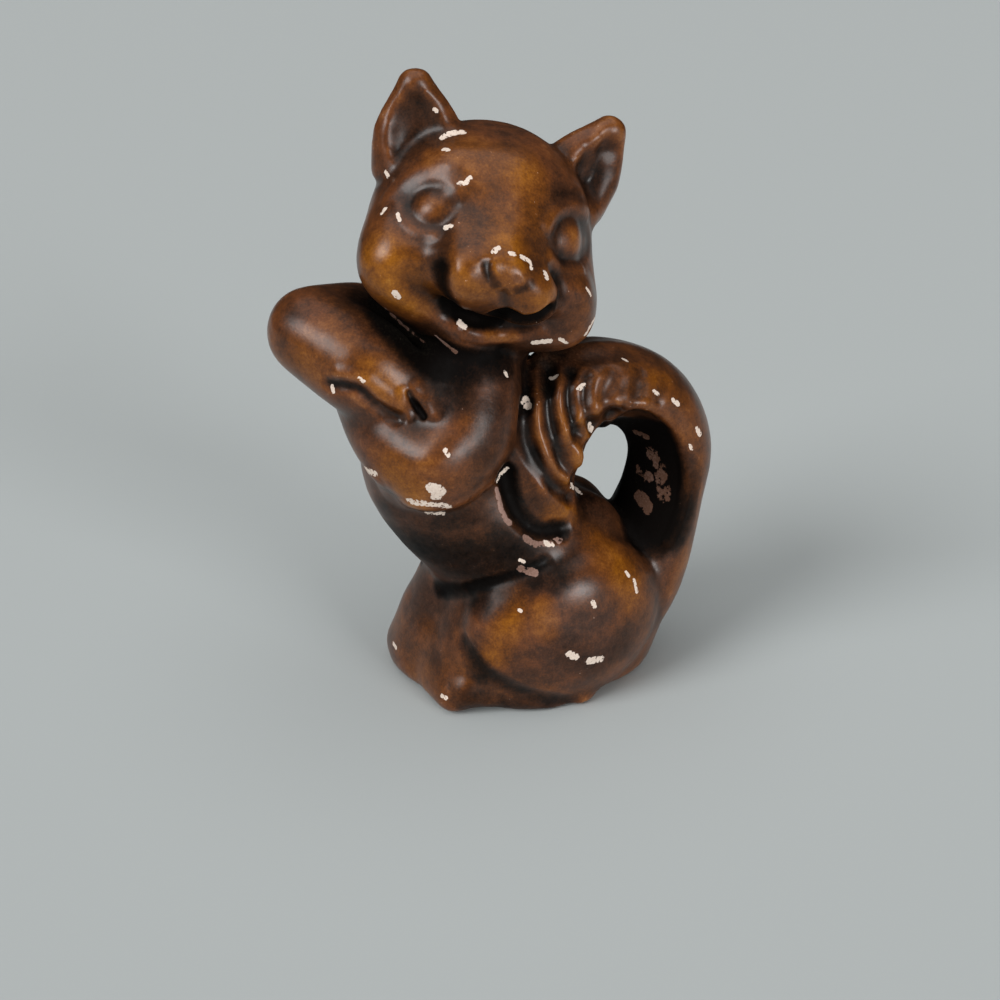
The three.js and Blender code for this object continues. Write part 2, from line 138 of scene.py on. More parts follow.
@dataclass(frozen=True)
class PhotoCamera:
    """The camera of the photograph, set in the figure's frame."""

    azimuth: float = 74.0
    elevation: float = 24.0
    distance: float = 240 * MM
    target: tuple[float, float, float] = (-1.99 * MM, -0.2 * MM, 37 * MM)
    lens: float = 45.0
    sensor: float = 36.0
    pixels: int = 1000
    clip_range: float = 100.0

    def back(self) -> Vector:
        """The unit vector from the target to the camera."""
        turn, lift = math.radians(self.azimuth), math.radians(self.elevation)
        return Vector((math.sin(turn) * math.cos(lift), -math.cos(turn) * math.cos(lift), math.sin(lift)))

    def place(self) -> Matrix:
        """The camera's matrix in the figure's frame."""
        turned = (-self.back()).to_track_quat("-Z", "Y").to_matrix().to_4x4()
        return Matrix.Translation(Vector(self.target) + self.back() * self.distance) @ turned

    def ray(self, pixel: Pixel) -> tuple[Vector, Vector]:
        """Where a pixel looks.

        Args:
            pixel: place in the photograph, from its upper left corner.

        Returns:
            The camera's place and the unit direction through the pixel.
        """
        scale = self.sensor / (self.lens * self.pixels)
        half = self.pixels / 2
        place = self.place()
        ahead = Vector(((pixel[0] - half) * scale, (half - pixel[1]) * scale, -1.0))
        return place.translation, (place.to_3x3() @ ahead).normalized()

    def build(self) -> None:
        """Makes the scene's camera."""
        data = bpy.data.cameras.new("photo_camera")
        data.lens = self.lens
        data.sensor_width = self.sensor
        data.clip_start = self.distance / self.clip_range
        data.clip_end = self.distance * self.clip_range
        camera = bpy.data.objects.new("photo_camera", data)
        camera.matrix_world = self.place()
        bpy.context.scene.collection.objects.link(camera)
        bpy.context.scene.camera = camera


@dataclass(frozen=True)
class Stamp:
    """An oval form raised, or sunk, where a pixel of the photograph falls on the skin, in millimetres."""

    name: str
    at: Pixel
    half_width: float
    half_height: float
    rise: float
    shape: Rise = Rise.SWELL


@dataclass(frozen=True)
class Stroke:
    """A ridge, or a groove where rise is negative, along a line of pixels, in millimetres."""

    name: str
    path: Path
    half_width: float
    rise: float


@dataclass(frozen=True)
class Touch:
    """Colour laid along a line of pixels, in millimetres."""

    half_width: float
    strength: float
    path: Path


def dabs(half_width: float, *paths: Path) -> tuple[Touch, ...]:
    """Touches of one width at full strength."""
    return tuple(Touch(half_width, 1.0, path) for path in paths)


@dataclass(frozen=True)
class Sponge:
    """A round patch that is wiped smooth before it is modelled, in millimetres."""

    name: str
    at: Pixel
    radius: float
    rounds: int


@dataclass(frozen=True)
class Eye:
    """A blind eye as modellers make it, an oval ball in a grooved socket: pixels across, millimetres deep."""

    name: str
    at: Pixel
    half_width: float
    half_height: float
    groove: float = 1.9
    depth: float = 0.16
    knots: int = 16

    def rim(self) -> Path:
        """Runs round the ball.

        Returns:
            The closed line of the groove.
        """
        wide, tall = self.half_width, self.half_height
        across, down = self.at
        turns = [2 * math.pi * knot / self.knots for knot in range(self.knots + 1)]
        return tuple((across + wide * math.cos(turn), down + tall * math.sin(turn)) for turn in turns)

    def stroke(self) -> Stroke:
        """The groove round the ball."""
        return Stroke(f"{self.name} socket", self.rim(), self.groove, -self.depth)

    def touch(self, strength: float) -> Touch:
        """The dark stain and painted shade laid in the groove."""
        return Touch(self.groove, strength, self.rim())


@dataclass(frozen=True)
class Region:
    """A sub-assembly of the figure, with the marks that model it and the colour laid on it."""

    name: str
    sponges: tuple[Sponge, ...] = ()
    stamps: tuple[Stamp, ...] = ()
    strokes: tuple[Stroke, ...] = ()
    # Darkening touches hold stain pooled in the creases and painted shade; lightening touches hold stain
    # rubbed back on the crests and painted light and highlights
    soot: tuple[Touch, ...] = ()
    rub: tuple[Touch, ...] = ()
    chip: tuple[Touch, ...] = ()
    clay: tuple[Touch, ...] = ()
    both_sides: bool = False

    def wipe(self, modeller: Modeller) -> None:
        """Wipes the region's patches smooth."""
        for sponge in self.sponges:
            modeller.wipe(sponge)

    def model(self, modeller: Modeller) -> None:
        """Presses the region's stamps, then draws its strokes.

        Args:
            modeller: who works on the skin.
        """
        for stamp in self.stamps:
            modeller.press(stamp)
        for stroke in self.strokes:
            modeller.draw(stroke)
        LOG.info("%s: %d stamps, %d strokes", self.name, len(self.stamps), len(self.strokes))

    def colour(self, modeller: Modeller, layers: dict[Paint, np.ndarray]) -> None:
        """Lays the region's touches of colour.

        Args:
            modeller: who works on the skin.
            layers: for each paint its amount at each point of the skin.
        """
        for paint, layer in layers.items():
            for touch in getattr(self, paint.value):
                near, share = modeller.along(f"{self.name} {paint.value}", touch.path, touch.half_width)
                amount = touch.strength * np.clip(1 - share**2, 0, None)
                layer[near] = np.maximum(layer[near], amount)


def eased(path: Path, step: float) -> np.ndarray:
    """Runs a smooth line through the pixels of a path.

    Args:
        path: the pixels that it passes.
        step: how far apart the line's points lie, in pixels.

    Returns:
        The line's points, one in a row.
    """
    knots = np.array(path, dtype=float)
    run_in, run_out = 2 * knots[0] - knots[1], 2 * knots[-1] - knots[-2]
    knots = np.concatenate([[run_in], knots, [run_out]])
    spans = []
    for before, start, end, after in zip(knots, knots[1:], knots[2:], knots[3:]):
        share = np.linspace(0, 1, 2 + int(math.dist(start, end) / step), endpoint=False)[:, None]
        slope = end - before
        curve = 2 * before - 5 * start + 4 * end - after
        twist = 3 * (start - end) + after - before
        spans.append(start + 0.5 * share * (slope + share * (curve + share * twist)))
    return np.concatenate([*spans, knots[-2:-1]])


def read(items: bpy_prop_collection, name: str, width: int = 1, kind: type = float) -> np.ndarray:
    """Reads a property of every item of a mesh.

    Args:
        items: the mesh's vertices, edges, loops, faces or stored values.
        name: the property.
        width: how many values it has.
        kind: what they are.

    Returns:
        One value, or one row of values, for each item.
    """
    flat = np.empty(len(items) * width, dtype=kind)
    items.foreach_get(name, flat)
    return flat.reshape(-1, width) if width > 1 else flat


class Skin:
    """The clay's surface as arrays, so that whole forms can be moved at once."""

    def __init__(self, mesh: Mesh) -> None:
        """Reads a mesh.

        Args:
            mesh: the mesh whose points are moved, and which store() writes back.
        """
        self.mesh = mesh
        self.points = read(mesh.vertices, "co", 3)
        ends = read(mesh.edges, "vertices", 2, int)
        self.start, self.end = ends.T
        self.valence = np.bincount(ends.ravel(), minlength=len(mesh.vertices))

    def around(self, values: np.ndarray) -> np.ndarray:
        """The mean of each point's neighbours, for one number or one row of numbers a point."""
        columns = values.reshape(len(values), -1).T
        sums = [self.gathered(column[self.end], column[self.start]) for column in columns]
        return (np.stack(sums, axis=1) / self.valence[:, None]).reshape(values.shape)

    def gathered(self, at_start: np.ndarray, at_end: np.ndarray) -> np.ndarray:
        """Adds up, at each point, what its edges bring to their two ends."""
        count = len(self.points)
        return np.bincount(self.start, at_start, count) + np.bincount(self.end, at_end, count)

    def soften(self, rounds: int, weight: np.ndarray | float = 1.0) -> None:
        """Moves points toward their neighbours, in rounds, by a weight for all of them or for each."""
        for _ in range(rounds):
            self.points += np.reshape(weight, (-1, 1)) * (self.around(self.points) - self.points)

    def blurred(self, values: np.ndarray, rounds: int) -> np.ndarray:
        """Spreads values over the skin.

        Args:
            values: one number or one row of numbers for each point.
            rounds: how many times each is averaged with its neighbours.

        Returns:
            The spread values.
        """
        for _ in range(rounds):
            values = (values + self.around(values)) / 2
        return values

    def store(self) -> None:
        """Writes the points back to the mesh."""
        self.mesh.vertices.foreach_set("co", self.points.ravel())
        self.mesh.update()

    def normals(self) -> np.ndarray:
        """The stored skin's normals, one row for each point."""
        self.store()
        return read(self.mesh.vertex_normals, "vector", 3)

    def tree(self) -> BVHTree:
        """A tree of the skin's faces, for rays."""
        faces = [tuple(polygon.vertices) for polygon in self.mesh.polygons]
        return BVHTree.FromPolygons([Vector(point) for point in self.points], faces)

    def keep(self, name: str, values: np.ndarray) -> None:
        """Stores one number for each point under a name that the finish reads."""
        layer = self.mesh.attributes.get(name) or self.mesh.attributes.new(name, "FLOAT", "POINT")
        layer.data.foreach_set("value", values.astype(np.float32))

    def bend(self) -> np.ndarray:
        """Measures how sharply the skin bends.

        Returns:
            For each point the bend per millimetre, above 0 in a hollow and below 0 on a crest.
        """
        normals = self.normals()
        step = self.points[self.end] - self.points[self.start]
        square = (step**2).sum(axis=1)
        reach = self.gathered(square, square)
        lift = ((self.around(self.points) - self.points) * normals).sum(axis=1)
        return lift / (reach / self.valence) * MM


class Modeller:
    """Presses stamps and strokes into a skin where pixels of the photograph fall on it."""

    stamp_reach: float = 1.5
    path_step: float = 2.0
    wiping: float = 0.5

    def __init__(self, skin: Skin, camera: PhotoCamera, mirror: float | None = None) -> None:
        """Takes the skin as it is now for every later mark.

        Args:
            skin: the skin to model.
            camera: the camera that the pixels belong to.
            mirror: where the middle plane lies across the figure, for marks on the far side.
        """
        self.skin = skin
        self.camera = camera
        self.mirror = mirror
        self.facing = skin.normals()
        self.tree = skin.tree()
        self.rest = skin.points.copy()

    def land(self, pixel: Pixel) -> tuple[np.ndarray, np.ndarray] | None:
        """Finds where a pixel falls on the skin.

        Args:
            pixel: place in the photograph.

        Returns:
            The point and the skin's normal there, or None where the pixel misses.
        """
        start, way = self.camera.ray(pixel)
        if self.mirror is not None:
            start.x = 2 * self.mirror - start.x
            way.x = -way.x
        place, normal, _, _ = self.tree.ray_cast(start, way)
        return None if place is None else (np.array(place), np.array(normal))

    def wipe(self, sponge: Sponge) -> None:
        """Smooths the skin under a sponge, most in the middle.

        Args:
            sponge: the patch.
        """
        found = self.land(sponge.at)
        if found is None:
            LOG.warning("%s misses the figure", sponge.name)
            return
        away = np.linalg.norm(self.rest - found[0], axis=1) / (sponge.radius * MM)
        self.skin.soften(sponge.rounds, self.wiping * np.clip(1 - away**2, 0, None))

    def press(self, stamp: Stamp) -> None:
        """Raises or sinks the skin under a stamp.

        Args:
            stamp: the form.
        """
        found = self.land(stamp.at)
        if found is None:
            LOG.warning("%s misses the figure", stamp.name)
            return
        middle, normal = found
        across = np.array(self.camera.place().to_3x3() @ Vector((1, 0, 0)))
        across -= normal * (across @ normal)
        across /= np.linalg.norm(across)
        up = np.cross(normal, across)
        away = self.rest - middle
        reach = self.stamp_reach * max(stamp.half_width, stamp.half_height) * MM
        near = np.flatnonzero((np.linalg.norm(away, axis=1) < reach) & (self.facing @ normal > 0))
        away = away[near] / MM
        share = np.hypot(away @ across / stamp.half_width, away @ up / stamp.half_height)
        inside = np.clip(1 - share**2, 0, None)
        height = np.sqrt(inside) if stamp.shape is Rise.DOME else inside**2
        self.skin.points[near] += (stamp.rise * MM) * height[:, None] * normal

    def draw(self, stroke: Stroke) -> None:
        """Raises a ridge or cuts a groove along a stroke.

        Args:
            stroke: the line.
        """
        near, share = self.along(stroke.name, stroke.path, stroke.half_width)
        height = (stroke.rise * MM) * np.clip(1 - share**2, 0, None) ** 2
        self.skin.points[near] += height[:, None] * self.facing[near]

    def along(self, name: str, path: Path, half_width: float) -> tuple[np.ndarray, np.ndarray]:
        """Measures the skin beside a line.

        Args:
            name: what the line is.
            path: its pixels.
            half_width: how far it reaches to each side, in millimetres.

        Returns:
            The points near it, and their distance from it as a share of the half width.
        """
        line = eased(path, self.path_step)
        found = [landed for landed in (self.land(tuple(pixel)) for pixel in line) if landed]
        if not found:
            LOG.warning("%s from %s misses the figure", name, path[0])
            return np.empty(0, dtype=int), np.empty(0)
        places, normals = (np.array(rows) for rows in zip(*found))
        reach = half_width * MM
        low, high = places.min(axis=0) - reach, places.max(axis=0) + reach
        near = np.flatnonzero(((self.rest > low) & (self.rest < high)).all(axis=1))
        gaps = np.linalg.norm(self.rest[near][:, None] - places[None], axis=2)
        nearest = gaps.argmin(axis=1)
        share = gaps[np.arange(len(near)), nearest] / reach
        kept = (share < 1) & ((self.facing[near] * normals[nearest]).sum(axis=1) > 0)
        return near[kept], share[kept]


@dataclass(frozen=True)
class Clay:
    """How the castings are fused into one body of clay and softened, in millimetres."""

    swell: float = 0.2
    voxel: float = 0.6
    weld: float = 0.001
    drain_depth: float = 3.0
    plug_height: float = 4.0
    plug_sides: int = 24
    soft_rounds: int = 24
    softness: float = 0.5
    head_softness: float = 0.25
    ear_softness: float = 0.12
    seam_rounds: int = 8

    def joined(self, nodes: Nodes, drain: Drain) -> Mesh:
        """Copies the solids into one mesh, each swelled to close the joint gaps, and stops the drain.

        Args:
            nodes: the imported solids.
            drain: the drain hole.

        Returns:
            The mesh.
        """
        whole = bmesh.new()
        for node in nodes.values():
            casting = bmesh.new()
            casting.from_mesh(node.data)
            bmesh.ops.remove_doubles(casting, verts=casting.verts, dist=self.weld * MM)
            casting.normal_update()
            for vert in casting.verts:
                vert.co += vert.normal * self.swell * MM
            swelled = bpy.data.meshes.new("swelled")
            casting.to_mesh(swelled)
            casting.free()
            whole.from_mesh(swelled)
            bpy.data.meshes.remove(swelled)
        height = self.plug_height * MM
        place = Matrix.Translation(drain.middle + Vector((0, 0, self.drain_depth * MM + height / 2)))
        sides = {"segments": self.plug_sides, "radius1": drain.radius, "radius2": drain.radius}
        bmesh.ops.create_cone(whole, cap_ends=True, depth=height, matrix=place, **sides)
        mesh = bpy.data.meshes.new("joined")
        whole.to_mesh(mesh)
        whole.free()
        return mesh

    def fused(self, joined: Mesh) -> Mesh:
        """Turns overlapping solids into one skin.

        Args:
            joined: the solids in one mesh.

        Returns:
            The outer skin alone.
        """
        mesh = modified(joined, "REMESH", mode="VOXEL", voxel_size=self.voxel * MM, adaptivity=0.0)
        skin = bmesh.new()
        skin.from_mesh(mesh)
        outside = max(islands(skin), key=len)
        inner = [vert for vert in skin.verts if vert.index not in outside]
        bmesh.ops.delete(skin, geom=inner, context="VERTS")
        skin.to_mesh(mesh)
        skin.free()
        return mesh

    def softened(self, skin: Skin, shares: np.ndarray, names: list[str]) -> None:
        """Sponges the skin, least on the ears and the face.

        Args:
            skin: the skin.
            shares: for each point, how far it belongs to each casting.
            names: the castings.
        """
        weights = np.full(len(names), self.softness)
        weights[names.index("head")] = self.head_softness
        weights[[names.index("left_ear"), names.index("right_ear")]] = self.ear_softness
        skin.soften(self.soft_rounds, shares @ weights)


@dataclass(frozen=True)
class Drain:
    """The drain hole under the seat, in metres."""

    middle: Vector
    radius: float

    @classmethod
    def of_record(cls, record: dict) -> Drain:
        """Finds the hole from the opening that the record states for it, a square inside the circle.

        Args:
            record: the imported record.

        Returns:
            The hole.
        """
        box = next(gap["box_m"] for gap in record["physics"]["openings"] if gap["name"] == "drain_hole")
        low, high = Vector(box[0]), Vector(box[1])
        middle = (low + high) / 2
        return cls(Vector((middle.x, middle.y, 0)), (high.x - low.x) / 2 * math.sqrt(2) + DRAIN_CLEARANCE)


def islands(mesh: BMesh) -> list[set[int]]:
    """Groups the points of a mesh that edges join.

    Args:
        mesh: the mesh.

    Returns:
        The index sets.
    """
    mesh.verts.index_update()
    left = set(mesh.verts)
    groups = []
    while left:
        group, edge = set(), [left.pop()]
        while edge:
            vert = edge.pop()
            group.add(vert.index)
            for link in vert.link_edges:
                other = link.other_vert(vert)
                if other in left:
                    left.remove(other)
                    edge.append(other)
        groups.append(group)
    return groups


def rings_of(edges: list[BMEdge]) -> list[list[BMVert]]:
    """Orders the points of closed chains of edges.

    Args:
        edges: the edges of one or more chains.

    Returns:
        Each chain's points, in order round it.
    """
    links: dict[BMVert, list[BMVert]] = {}
    for edge in edges:
        first, second = edge.verts
        links.setdefault(first, []).append(second)
        links.setdefault(second, []).append(first)
    rings = []
    left = dict.fromkeys(links)
    while left:
        vert = next(iter(left))
        ring = []
        while vert is not None:
            ring.append(vert)
            del left[vert]
            vert = next((other for other in links[vert] if other in left), None)
        rings.append(ring)
    return rings


def modified(mesh: Mesh, kind: str, **settings: object) -> Mesh:
    """Runs one modifier on a mesh.

    Args:
        mesh: the mesh, which is used up.
        kind: the modifier's type.
        **settings: the modifier's settings.

    Returns:
        The new mesh.
    """
    holder = bpy.data.objects.new("holder", mesh)
    bpy.context.scene.collection.objects.link(holder)
    modifier = holder.modifiers.new(kind.lower(), kind)
    for name, value in settings.items():
        setattr(modifier, name, value)
    graph = bpy.context.evaluated_depsgraph_get()
    result = bpy.data.meshes.new_from_object(holder.evaluated_get(graph))
    bpy.data.objects.remove(holder)
    bpy.data.meshes.remove(mesh)
    return result


def shares_of(skin: Skin, nodes: Nodes, rounds: int) -> np.ndarray:
    """Tells how far each point belongs to each casting.

    Args:
        skin: the skin.
        nodes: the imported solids, in order.
        rounds: how far the joints are blurred.

    Returns:
        For each point one share for each solid.
    """
    gaps = []
    for node in nodes.values():
        faces = [tuple(polygon.vertices) for polygon in node.data.polygons]
        tree = BVHTree.FromPolygons([vert.co for vert in node.data.vertices], faces)
        gaps.append([tree.find_nearest(Vector(point))[3] for point in skin.points])
    nearest = np.array(gaps).argmin(axis=0)
    return skin.blurred(np.eye(len(nodes))[nearest], rounds)


def openness(skin: Skin, rays: int, reach: float) -> np.ndarray:
    """Measures how open to the air each point of a skin lies.

    Args:
        skin: the skin.
        rays: how many ways to look from each point.
        reach: how far to look, in millimetres.

    Returns:
        For each point the share of ways that nothing closes, from 0 to 1.
    """
    normals = skin.normals()
    tree = skin.tree()
    turns = np.arange(rays) * GOLDEN_ANGLE
    lean = np.sqrt((np.arange(rays) + 0.5) / rays)
    fan = np.stack([lean * np.cos(turns), lean * np.sin(turns), np.sqrt(1 - lean**2)], axis=1)
    fan = [Vector(way) for way in fan]
    far = reach * MM
    opened = np.empty(len(normals))
    for index, (point, normal) in enumerate(zip(skin.points, normals)):
        turned = Vector(normal).to_track_quat("Z", "Y").to_matrix()
        start = Vector(point + normal * RAY_LIFT)
        shut = sum(tree.ray_cast(start, turned @ way, far)[0] is not None for way in fan)
        opened[index] = 1 - shut / rays
    return opened


def linear(colour: str) -> Colour:
    """Turns a colour written in sRGB hex into linear values."""
    parts = [int(colour[place : place + 2], 16) / 255 for place in (1, 3, 5)]
    return (*(c / 12.92 if c <= 0.04045 else ((c + 0.055) / 1.055) ** 2.4 for c in parts), 1.0)


def add_node(
    tree: NodeTree, kind: str, inputs: dict[str | int, object] | None = None, **settings: object
) -> Node:
    """Adds a node.

    Args:
        tree: the material's nodes.
        kind: the node's type.
        inputs: the socket that feeds each of its inputs, or the value that the input is set to.
        **settings: its own settings.

    Returns:
        The node.
    """
    node = tree.nodes.new(kind)
    for name, value in settings.items():
        setattr(node, name, value)
    for key, given in (inputs or {}).items():
        if isinstance(given, NodeSocket):
            tree.links.new(given, node.inputs[key])
        else:
            node.inputs[key].default_value = given
    return node


def mixed(tree: NodeTree, share: NodeSocket, first: Tint, second: Tint) -> NodeSocket:
    """Mixes two colours, the second by a share from 0 to 1."""
    inputs = {MIX_SHARE: share, MIX_FIRST: first, MIX_SECOND: second}
    return add_node(tree, "ShaderNodeMix", inputs, data_type="RGBA").outputs[MIX_RESULT]


def reckoned(tree: NodeTree, operation: str, *terms: NodeSocket | float, clamp: bool = False) -> NodeSocket:
    """Reckons with sockets and numbers, in the order that the operation takes them."""
    inputs = dict(enumerate(terms))
    return add_node(tree, "ShaderNodeMath", inputs, operation=operation, use_clamp=clamp).outputs[0]


def edged(tree: NodeTree, field: NodeSocket, edge: tuple[float, float]) -> NodeSocket:
    """Turns a field into a mask that rises from 0 to 1 between the edge's two values."""
    inputs = {"Value": field, "From Min": edge[0], "From Max": edge[1]}
    return add_node(tree, "ShaderNodeMapRange", inputs).outputs[0]


def ramp(tree: NodeTree, tone: NodeSocket, stops: Sequence[float], colours: Sequence[str]) -> NodeSocket:
    """Colours a tone.

    Args:
        tree: the material's nodes.
        tone: the tone, from 0 for the darkest stain to 1 for the palest.
        stops: where the colours lie along it.
        colours: the colours.

    Returns:
        The colour.
    """
    node = add_node(tree, "ShaderNodeValToRGB", {"Fac": tone})
    elements = node.color_ramp.elements
    while len(elements) < len(colours):
        elements.new(1.0)
    for element, at, colour in zip(elements, stops, colours):
        element.position = at
        element.color = linear(colour)
    return node.outputs[0]


@dataclass(frozen=True)
class Noise:
    """A noise that breaks up the stain, in millimetres."""

    name: str
    size: float
    detail: int
    roughness: float = 0.6

    def build(self, tree: NodeTree, place: NodeSocket) -> NodeSocket:
        """Makes the noise."""
        look = {"Scale": 1 / (self.size * MM), "Detail": self.detail, "Roughness": self.roughness}
        return add_node(tree, "ShaderNodeTexNoise", {"Vector": place, **look}).outputs["Fac"]


@dataclass(frozen=True)
class Blend:
    """A sum of fields, each times its weight."""

    start: float
    weights: dict[str, float]

    def build(self, tree: NodeTree, fields: Fields) -> NodeSocket:
        """Makes the sum.

        Args:
            tree: the material's nodes.
            fields: what the names of the weights stand for.

        Returns:
            The sum.
        """
        total: NodeSocket | float = self.start
        for name, weight in self.weights.items():
            total = reckoned(tree, "MULTIPLY_ADD", fields[name], weight, total)
        return total


@dataclass(frozen=True)
class StainedEarthenware:
    """Bisque earthenware, slip cast, brushed with brown wood stain, wiped back and sealed with satin varnish.

    The stain stays near black in the hollows and is rubbed to amber on the crests. The colour is also
    darkened where the skin is closed in and along dark touches as painted shade, and lightened along some
    rubbed touches as painted light and highlights. Where the varnish has been knocked off, the chalky body
    shows, darkened along the dark touches as painted shade. The varnish shines on the open sides and misses
    the hollows. Sizes are in millimetres.
    """

    stops: tuple[float, ...] = (0.0, 0.2, 0.42, 0.62, 0.82, 1.0)
    golden: tuple[str, ...] = ("#080402", "#1C0E04", "#412208", "#6A3A08", "#90560E", "#B48034")
    russet: tuple[str, ...] = ("#080504", "#1E110A", "#402516", "#64381C", "#875530", "#A88166")
    chip_colours: tuple[str, str] = ("#F0E4D8", "#CDB4A2")
    # Bare clay, and a darker copy of it as painted shade
    clay_and_shaded_clay_colours: tuple[str, str] = ("#B8968A", "#5A4033")
    dust_colour: str = "#5A5446"
    dust_share: float = 0.16
    noises: tuple[Noise, ...] = (
        Noise("drift", 16.0, 3),
        Noise("blotch", 7.0, 3),
        Noise("mottle", 1.4, 4),
        Noise("flake", 0.6, 3),
        Noise("speckle", 0.4, 2),
    )
    # Tone: darker where the skin is closed in (shade) and along the dark touches, partly stain that pools and
    # partly painted shade; lighter along the rubbed touches, partly rubbed stain and partly painted light and
    # highlights
    tone: Blend = Blend(
        -0.58,
        {"blotch": 0.65, "mottle": 0.3, "speckle": 0.35, "shade": 0.4}
        | {"bend": -0.24, "rub": 0.24, "soot": -0.62},
    )
    gilt: Blend = Blend(-1.25, {"drift": 2.6, "rub": 0.9, "shade": 0.2})
    dusty: Blend = Blend(-0.55, {"shade": -0.9, "speckle": 1.8})
    # How far bare clay takes its darker copy: painted shade along the dark touches, with random speckle
    clay_painted_shade: Blend = Blend(0.0, {"speckle": 0.6, "soot": 0.7})
    clay_flakes: Blend = Blend(-0.45, {"mottle": 2.6})
    chip_flakes: Blend = Blend(-0.45, {"flake": 2.6})
    flake_edge: tuple[float, float] = (0.42, 0.5)
    pin_chips: Blend = Blend(0.0, {"speckle": 1.0, "mottle": 0.7, "bend": -0.1})
    pin_edge: tuple[float, float] = (1.2, 1.24)
    rough: Blend = Blend(0.6, {"mottle": 0.3, "shade": -0.4, "soot": 0.3, "chipped": 0.5, "clayed": 0.45})
    grain: Blend = Blend(0.0, {"mottle": 0.5, "speckle": 0.4, "chipped": -1.4})
    grain_strength: float = 0.3
    grain_height: float = 0.12
    ior: float = 1.45
    sheen: float = 0.06
    varnish: Blend = Blend(
        -0.86,
        {"mottle": 0.4, "shade": 1.3, "soot": -0.9, "chipped": -2.0, "clayed": -2.0},
    )
    varnish_ior: float = 1.5
    varnish_roughness: float = 0.31

    def build(self) -> Material:
        """Makes the material.

        Returns:
            The material, which reads the layers that are stored on the skin.
        """
        material = bpy.data.materials.new("stained_earthenware")
        material.use_nodes = True
        tree = material.node_tree
        fields = self.fields(tree)
        relief = {
            "Height": self.grain.build(tree, fields),
            "Strength": self.grain_strength,
            "Distance": self.grain_height * MM,
        }
        bump = add_node(tree, "ShaderNodeBump", relief).outputs[0]
        varnish = add_node(tree, "ShaderNodeClamp", {0: self.varnish.build(tree, fields)})
        made = {
            "Base Color": self.colour(tree, fields),
            "Roughness": self.rough.build(tree, fields),
            "Normal": bump,
            "Coat Weight": varnish.outputs[0],
            "Coat Normal": bump,
        }
        shader = tree.nodes["Principled BSDF"]
        for name, socket in made.items():
            tree.links.new(socket, shader.inputs[name])
        shader.inputs["IOR"].default_value = self.ior
        shader.inputs["Specular IOR Level"].default_value = self.sheen
        shader.inputs["Coat IOR"].default_value = self.varnish_ior
        shader.inputs["Coat Roughness"].default_value = self.varnish_roughness
        return material

    def fields(self, tree: NodeTree) -> Fields:
        """Makes what the blends are summed from.

        Args:
            tree: the material's nodes.

        Returns:
            The stored layers, the noises, and the masks of bare clay and chips.
        """
        fields = {}
        for layer in ("shade", "bend", *(paint.value for paint in Paint)):
            node = add_node(tree, "ShaderNodeAttribute", attribute_name=layer)
            fields[layer] = node.outputs["Fac"]
        place = add_node(tree, "ShaderNodeTexCoord").outputs["Object"]
        fields |= {noise.name: noise.build(tree, place) for noise in self.noises}
        fields["clayed"] = self.flaked(tree, fields, "clay", self.clay_flakes)
        chips = self.flaked(tree, fields, "chip", self.chip_flakes)
        specks = edged(tree, self.pin_chips.build(tree, fields), self.pin_edge)
        fields["chipped"] = reckoned(tree, "MAXIMUM", chips, specks)
        return fields

    def flaked(self, tree: NodeTree, fields: Fields, layer: str, flakes: Blend) -> NodeSocket:
        """Breaks a soft layer into flakes, most at its edge."""
        broken = reckoned(tree, "MULTIPLY", flakes.build(tree, fields), fields[layer])
        return edged(tree, broken, self.flake_edge)

    def colour(self, tree: NodeTree, fields: Fields) -> NodeSocket:
        """Lays the stain, with painted shade and painted light in its tone, then dust in the hollows, bare
        clay darkened as painted shade, and chips.

        Args:
            tree: the material's nodes.
            fields: what the blends are summed from.

        Returns:
            The colour.
        """
        tone = self.tone.build(tree, fields)
        gilt = self.gilt.build(tree, fields)
        stains = (ramp(tree, tone, self.stops, colours) for colours in (self.russet, self.golden))
        colour = mixed(tree, gilt, *stains)
        dusty = reckoned(tree, "MULTIPLY", self.dusty.build(tree, fields), self.dust_share, clamp=True)
        colour = mixed(tree, dusty, colour, linear(self.dust_colour))
        # Bare clay, darkened toward its copy in painted shade along the dark touches
        bare = mixed(tree, self.clay_painted_shade.build(tree, fields), *map(linear, self.clay_and_shaded_clay_colours))
        colour = mixed(tree, fields["clayed"], colour, bare)
        chalk = mixed(tree, fields["speckle"], *map(linear, self.chip_colours))
        return mixed(tree, fields["chipped"], colour, chalk)


RIGHT_EYE = Eye("right eye", (432, 207), 20.0, 17.5)
LEFT_EYE = Eye("left eye", (571, 241), 17.0, 20.5)
RIGHT_BROW = ((390, 195), (400, 184), (413, 177), (428, 173), (443, 178), (454, 190))
MOUTH = ((462, 313), (472, 317), (486, 319), (505, 315), (520, 321), (536, 319), (549, 311))
MOUTH_SHADOW = ((456, 308), (470, 316), (486, 319), (505, 317), (520, 322), (538, 320), (555, 307))
PLUME_HOLLOW = ((506, 473), (512, 502), (523, 520), (540, 531), (562, 530))
RIDGE_1 = ((537, 372), (537, 410), (541, 440), (552, 465), (568, 486))
RIDGE_2 = ((560, 378), (560, 405), (566, 435), (577, 462))
LOOP_RIM = ((602, 427), (620, 411), (645, 406), (672, 425), (684, 462), (683, 505), (668, 542))
LEFT_ARM_EDGE = ((372, 474), (391, 495), (410, 505), (438, 508), (464, 501), (490, 483))

